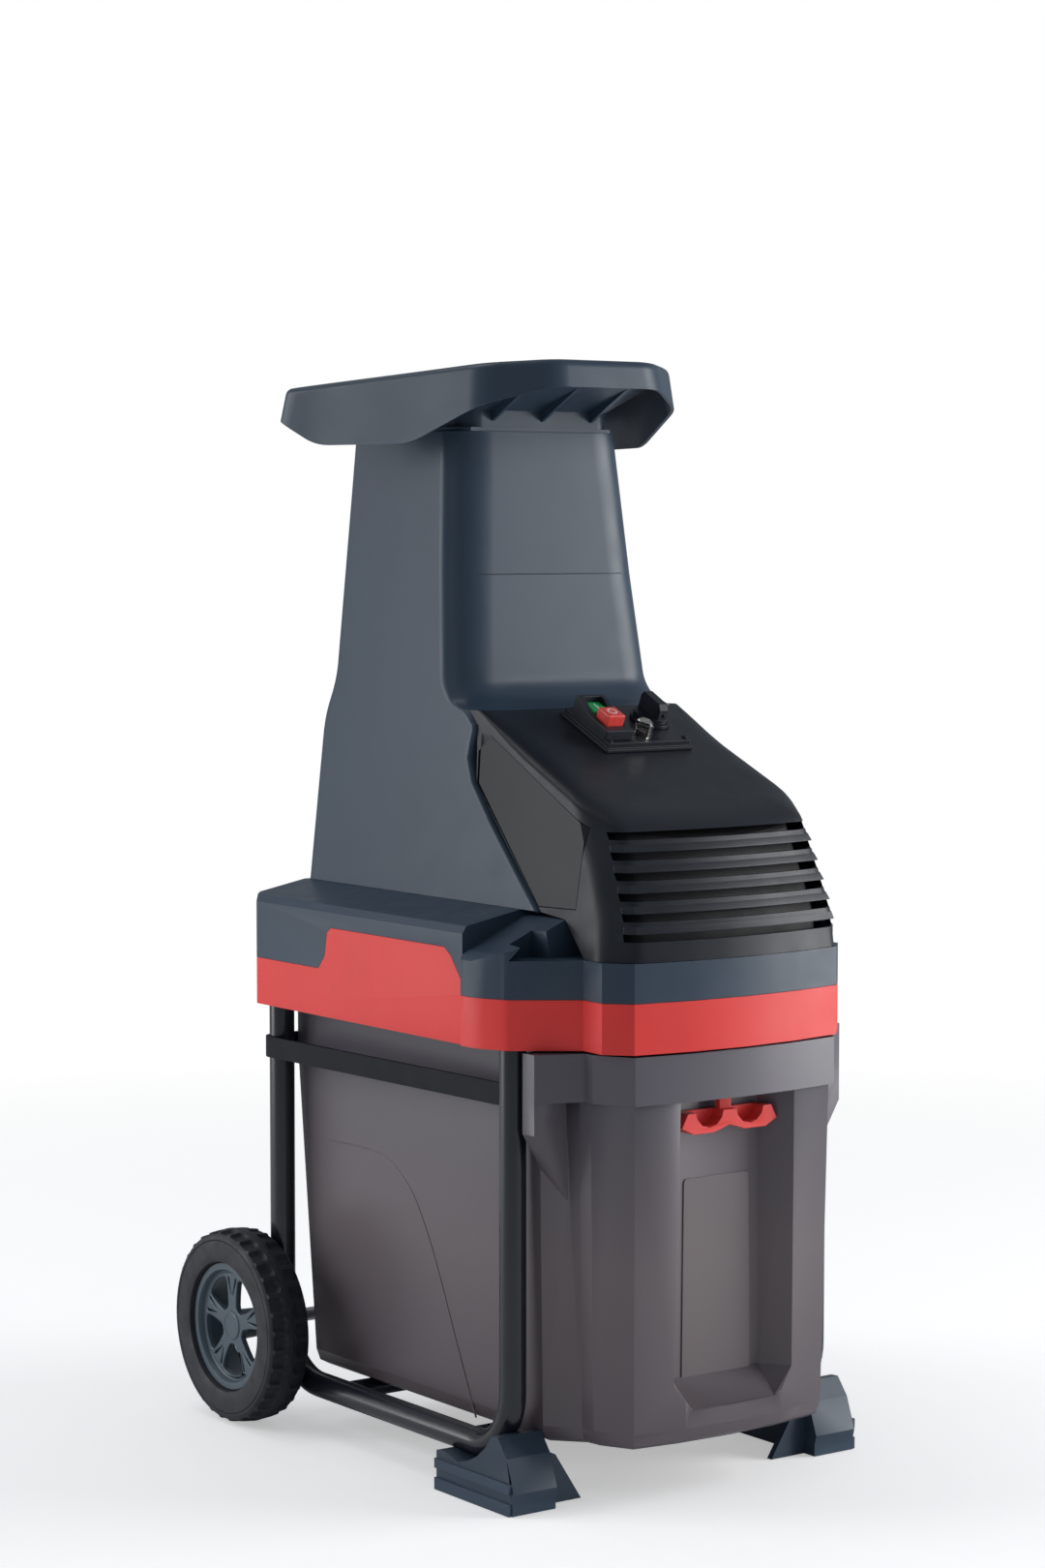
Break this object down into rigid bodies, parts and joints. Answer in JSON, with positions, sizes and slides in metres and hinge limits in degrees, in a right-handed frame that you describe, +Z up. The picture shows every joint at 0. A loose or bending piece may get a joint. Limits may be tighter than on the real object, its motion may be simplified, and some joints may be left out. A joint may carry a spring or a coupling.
{
  "type": "garden shredder",
  "caption": "Electric garden shredder with a funnel hopper, roller cutting works, sloping control hood and pull-out collecting box on a wheeled tube frame.",
  "frame": {"origin": "on the ground under the middle of the bounding box", "axes": "+Z up, -Y towards the person who feeds it and pulls out the box, +X to that person's right"},
  "size_m": [0.422, 0.554, 0.928],
  "materials": {
    "housing": "satin dark blue-grey",
    "band": "satin red",
    "hood": "satin black",
    "smoke": "smoky clear brown-grey",
    "tube": "gloss black",
    "tread": "matt black",
    "rim": "satin blue-grey",
    "green": "gloss green",
    "red": "gloss red",
    "clear": "clear",
    "steel": "bare steel",
    "cast": "cast aluminium",
    "winding": "lacquered laminations and winding"
  },
  "bodies": {
    "frame": {"frame_tube_left": "tube", "frame_tube_right": "tube", "cross_bar_front": "tube", "cross_bar_rear": "tube", "box_strap": "tube", "foot_left": "housing", "foot_right": "housing", "wheel_axle": "steel", "red_band": "band", "base_deck": "housing", "cheek_left": "housing", "cheek_right": "housing", "front_panel_upper": "housing", "front_panel_lower": "housing", "rear_cover": "housing", "motor_hood": "hood", "hood_window_left": "smoke", "hood_window_right": "smoke", "control_plate": "hood", "switch_housing": "hood", "selector_base": "hood", "reset_cap": "clear", "feed_hopper": "housing", "feed_chute": "housing", "box_interlock": "hood", "cutting_chamber": "cast", "roller_bearing_front": "steel", "roller_bearing_rear": "steel", "gearbox_case": "cast", "gearbox_cover": "cast", "motor_can": "cast", "motor_stator": "winding", "motor_capacitor": "cast", "power_inlet": "hood"},
    "wheel_left": {"tyre_left": "tread", "rim_left": "rim"},
    "wheel_right": {"tyre_right": "tread", "rim_right": "rim"},
    "box": {"collecting_box": "smoke"},
    "latch": {"box_latch": "red"},
    "start": {"start_button": "green"},
    "stop": {"stop_button": "red"},
    "reset": {"reset_button": "red"},
    "selector": {"selector_knob": "hood"},
    "rotor": {"motor_rotor": "steel", "cooling_fan": "hood"},
    "gear_first": {"gear_shaft_first": "steel"},
    "gear_second": {"gear_shaft_second": "steel"},
    "roller": {"cutting_roller": "steel", "roller_gear": "steel"},
    "plate": {"pressure_plate": "steel"},
    "adjuster": {"adjuster_spindle": "steel", "adjuster_knob": "housing"}
  },
  "joints": [
    {"name": "wheel_left_spin", "type": "hinge", "parent": "frame", "child": "wheel_left", "pos_m": [-0.19075, 0.1915, 0.0855], "axis": [1, 0, 0], "continuous": true},
    {"name": "wheel_right_spin", "type": "hinge", "parent": "frame", "child": "wheel_right", "pos_m": [0.19075, 0.1915, 0.0855], "axis": [1, 0, 0], "continuous": true},
    {"name": "box_slide", "type": "slide", "parent": "frame", "child": "box", "axis": [0, -1, 0], "range_m": [0, 0.45]},
    {"name": "latch_lift", "type": "slide", "parent": "box", "child": "latch", "axis": [0, 0, 1], "range_m": [0, 0.012]},
    {"name": "start_press", "type": "slide", "parent": "frame", "child": "start", "axis": [0, 0.4156, -0.9095], "range_m": [0, 0.003], "stiffness_N_per_m": 800, "springref_m": -0.001},
    {"name": "stop_press", "type": "slide", "parent": "frame", "child": "stop", "axis": [0, 0.4156, -0.9095], "range_m": [0, 0.003], "stiffness_N_per_m": 800, "springref_m": -0.001},
    {"name": "reset_press", "type": "slide", "parent": "frame", "child": "reset", "axis": [0, 0.4156, -0.9095], "range_m": [0, 0.002], "stiffness_N_per_m": 800, "springref_m": -0.001},
    {"name": "selector_turn", "type": "hinge", "parent": "frame", "child": "selector", "pos_m": [0.04, -0.10057, 0.63232], "axis": [0, -0.4156, 0.9095], "range_deg": [-45, 45]},
    {"name": "rotor_spin", "type": "hinge", "parent": "frame", "child": "rotor", "pos_m": [0.01246, -0.1083, 0.52994], "axis": [0, 1, 0], "continuous": true},
    {"name": "gear_first_spin", "type": "hinge", "parent": "frame", "child": "gear_first", "pos_m": [0.04677, -0.046, 0.54311], "axis": [0, 1, 0], "continuous": true},
    {"name": "gear_second_spin", "type": "hinge", "parent": "frame", "child": "gear_second", "pos_m": [0.0249, -0.0315, 0.581], "axis": [0, 1, 0], "continuous": true},
    {"name": "roller_spin", "type": "hinge", "parent": "frame", "child": "roller", "pos_m": [-0.018, 0.078, 0.545], "axis": [0, 1, 0], "continuous": true},
    {"name": "plate_slide", "type": "slide", "parent": "frame", "child": "plate", "axis": [1, 0, 0], "range_m": [-0.002, 0.004]},
    {"name": "adjuster_turn", "type": "hinge", "parent": "frame", "child": "adjuster", "pos_m": [0.0354, 0.078, 0.545], "axis": [1, 0, 0], "range_deg": [-412, 824]}
  ],
  "couplings": [
    {"joint": "gear_first_spin", "follows": "rotor_spin", "ratio": -0.25},
    {"joint": "gear_second_spin", "follows": "rotor_spin", "ratio": 0.0625},
    {"joint": "roller_spin", "follows": "rotor_spin", "ratio": -0.015625},
    {"joint": "adjuster_turn", "follows": "plate_slide", "rad_per_m": 3590.4}
  ]
}
